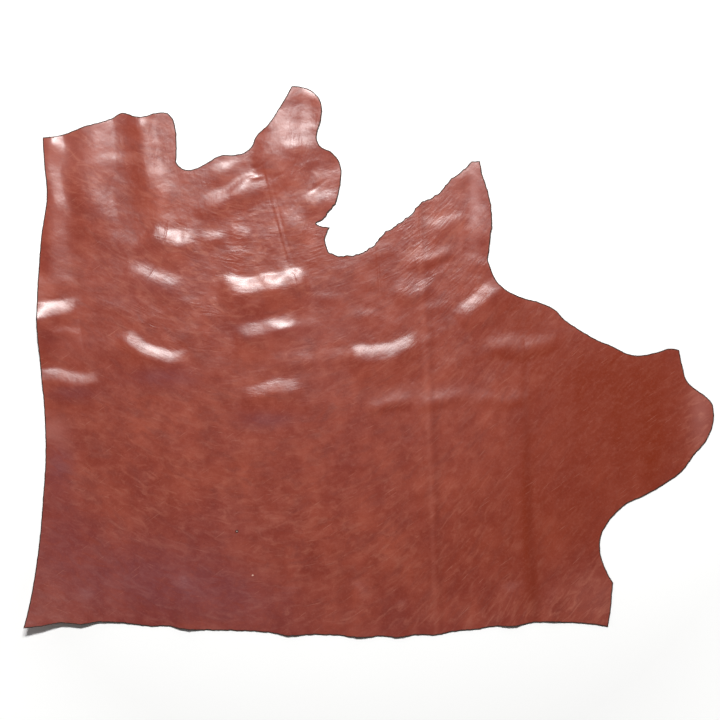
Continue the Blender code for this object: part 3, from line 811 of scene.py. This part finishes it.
# %% Raw cut
raw_edge_and_shade, tree, shader = new_material("raw_knife_cut_and_painted_shade")
place = add(tree, "ShaderNodeTexCoord").outputs["Object"]
laid = add(tree, "ShaderNodeMapping", {"Vector": place, "Scale": (1.0, 1.0, 3.0)}).outputs[0]
FIBRE_MM = 2.5       # bundles of fibres, drawn coarse
fibres = add(tree, "ShaderNodeTexNoise",
             {"Vector": laid, "Scale": 1 / (FIBRE_MM * MM), "Detail": 3, "Roughness": 0.7}).outputs["Fac"]
share = add(tree, "ShaderNodeMapRange", {"Value": fibres, "From Min": 0.35, "From Max": 0.7},
            interpolation_type="SMOOTHSTEP").outputs[0]
# dark browns: the dyed cut, and painted shade along the edge
colour = add(tree, "ShaderNodeMix", {"Factor": share, 6: linear("#2A1710"), 7: linear("#4A2C20")},
             data_type="RGBA").outputs[2]
bump = add(tree, "ShaderNodeBump", {"Strength": 1.0, "Distance": 0.3 * MM, "Height": fibres})
tree.links.new(colour, shader.inputs["Base Color"])
tree.links.new(bump.outputs[0], shader.inputs["Normal"])
shader.inputs["Roughness"].default_value = 0.85

# %% Flesh side
flesh_side, tree, shader = new_material("buffed_flesh_side")
place = add(tree, "ShaderNodeTexCoord").outputs["Object"]
NAP_MM = 4.0         # tufts of the nap, drawn coarse
nap = add(tree, "ShaderNodeTexNoise",
          {"Vector": place, "Scale": 1 / (NAP_MM * MM), "Detail": 4, "Roughness": 0.7}).outputs["Fac"]
share = add(tree, "ShaderNodeMapRange", {"Value": nap, "From Min": 0.3, "From Max": 0.7},
            interpolation_type="SMOOTHSTEP").outputs[0]
colour = add(tree, "ShaderNodeMix", {"Factor": share, 6: linear("#8E6152"), 7: linear("#A87C6B")},
             data_type="RGBA").outputs[2]
bump = add(tree, "ShaderNodeBump", {"Strength": 1.0, "Distance": 0.5 * MM, "Height": nap})
tree.links.new(colour, shader.inputs["Base Color"])
tree.links.new(bump.outputs[0], shader.inputs["Normal"])
shader.inputs["Roughness"].default_value = 0.95
shader.inputs["Sheen Weight"].default_value = 0.2
print("materials:", [m.name for m in (waxed_leather, raw_edge_and_shade, flesh_side)])

# %% [markdown]
# ## Put the hide together
#
# One mesh holds grain side, raw edge and flesh side, because it is one piece of leather.  It rides on the
# imported solid's body and replaces that solid.

# %% The mesh, its materials and its attributes
GRAIN, CUT, FLESH = 0, 1, 2       # places of the materials on the mesh
mesh = bpy.data.meshes.new("hide_leather")
faces = grain_faces.tolist() + rim_faces.tolist() + flesh_faces.tolist()
mesh.from_pydata(points.tolist(), [], faces)
for material in (waxed_leather, raw_edge_and_shade, flesh_side):
    mesh.materials.append(material)
kind = np.repeat((GRAIN, CUT, FLESH), (len(grain_faces), len(rim_faces), len(flesh_faces)))
mesh.polygons.foreach_set("material_index", kind)
mesh.polygons.foreach_set("use_smooth", np.ones(len(faces), dtype=bool))
for name, values in finish.items():
    mesh.attributes.new(name, "FLOAT", "POINT").data.foreach_set("value", values.astype(np.float32))
corner = np.empty(len(mesh.loops), dtype=np.int32)
mesh.loops.foreach_get("vertex_index", corner)
mesh.uv_layers.new(name="pull").data.foreach_set("uv", flow(flat)[corner].ravel().astype(np.float32))
mesh.validate()
mesh.update()

# %% The hide
hide = bpy.data.objects.new("hide_leather", mesh)
bpy.context.scene.collection.objects.link(hide)
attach(hide, "root")
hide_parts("hide")

# %% [markdown]
# ## Floor, light and camera
#
# A waxed hide shows its waves only by reflection.  A camera straight above sees, in the flat parts,
# whatever is straight above too, so that is kept dim, and the light comes from two window-like
# panels beyond the legs.  Every slope that faces them turns pale, and the rest keeps its own colour.
# The floor is a white sheet, and far from the hide it glows a little: painted light that keeps it as white as
# a lit paper sweep where the windows reach less.

# %% Floor
FLOOR_SIDE, FLOOR_BELOW = 12.0, -0.0004     # half width, and height just under the hide, in metres
FLOOR_NEAR, FLOOR_FAR = 0.78, 2.2    # metres from the hide's middle: from here to there the floor brightens
FLOOR_GLOW = 0.75

material, tree, shader = new_material("white_floor_with_painted_glow")
place = add(tree, "ShaderNodeTexCoord").outputs["Object"]
away = add(tree, "ShaderNodeVectorMath", {0: place}, operation="LENGTH").outputs["Value"]
# painted light: the floor glows more the farther it lies from the hide
glow = add(tree, "ShaderNodeMapRange",
           {"Value": away, "From Min": FLOOR_NEAR, "From Max": FLOOR_FAR, "To Min": 0.0,
            "To Max": FLOOR_GLOW})
tree.links.new(glow.outputs[0], shader.inputs["Emission Strength"])
shader.inputs["Emission Color"].default_value = (1.0, 1.0, 1.0, 1.0)
shader.inputs["Base Color"].default_value = linear("#FEFEFD")
shader.inputs["Roughness"].default_value = 0.9
shader.inputs["Specular IOR Level"].default_value = 0.1
plane = bpy.data.meshes.new("floor")
corners = [(x * FLOOR_SIDE, y * FLOOR_SIDE, FLOOR_BELOW) for x, y in ((-1, -1), (1, -1), (1, 1), (-1, 1))]
plane.from_pydata(corners, [], [(0, 1, 2, 3)])
plane.materials.append(material)
floor = bpy.data.objects.new("floor", plane)
bpy.context.scene.collection.objects.link(floor)
print("floor:", 2 * FLOOR_SIDE, "m square")

# %% Room: pale round the horizon and dim overhead, by the height of the ray
HORIZON, OVERHEAD = 0.9, 0.03     # strength of the light that comes in level, and from above
DIM_FROM = 0.6                    # sine of the height at which it is as dim as overhead
world = bpy.data.worlds.new("studio")
world.use_nodes = True
tree = world.node_tree
ray = add(tree, "ShaderNodeTexCoord").outputs["Generated"]
height = add(tree, "ShaderNodeSeparateXYZ", {0: ray}).outputs[2]
dim = add(tree, "ShaderNodeMapRange",
          {"Value": height, "From Min": 0.0, "From Max": DIM_FROM, "To Min": HORIZON, "To Max": OVERHEAD},
          interpolation_type="SMOOTHSTEP").outputs[0]
tree.links.new(dim, tree.nodes["Background"].inputs["Strength"])
tree.nodes["Background"].inputs["Color"].default_value = (1.0, 1.0, 1.0, 1.0)
bpy.context.scene.world = world

# %% Windows: place, width, height, watts
WINDOWS = {
    "window_left": ((-0.44, 1.65, 3.1), 0.66, 0.36, 96),
    "window_right": ((0.26, 1.65, 3.1), 0.46, 0.36, 64),
}
AIM = (0.0, 0.1, 0.0)
for name, (at, wide, high, watts) in WINDOWS.items():
    light = bpy.data.lights.new(name, "AREA")
    light.shape = "RECTANGLE"
    light.size = wide
    light.size_y = high
    light.energy = watts
    lamp = bpy.data.objects.new(name, light)
    lamp.location = at
    lamp.rotation_euler = (Vector(AIM) - Vector(at)).to_track_quat("-Z", "Y").to_euler()
    bpy.context.scene.collection.objects.link(lamp)
print("windows:", list(WINDOWS))

# %% Camera straight above
EYE = (-0.0195, 0.0037, 3.0)
VIEW_WIDTH = 1.363     # metres of floor across the view
camera = bpy.data.cameras.new("camera")
camera.sensor_width = 36.0
camera.lens = camera.sensor_width * EYE[2] / VIEW_WIDTH
eye = bpy.data.objects.new("camera", camera)
eye.location = EYE
bpy.context.scene.collection.objects.link(eye)
bpy.context.scene.camera = eye
bpy.context.scene.view_settings.view_transform = "Standard"
print("camera:", EYE[2], "m up, lens", round(camera.lens, 1), "mm")
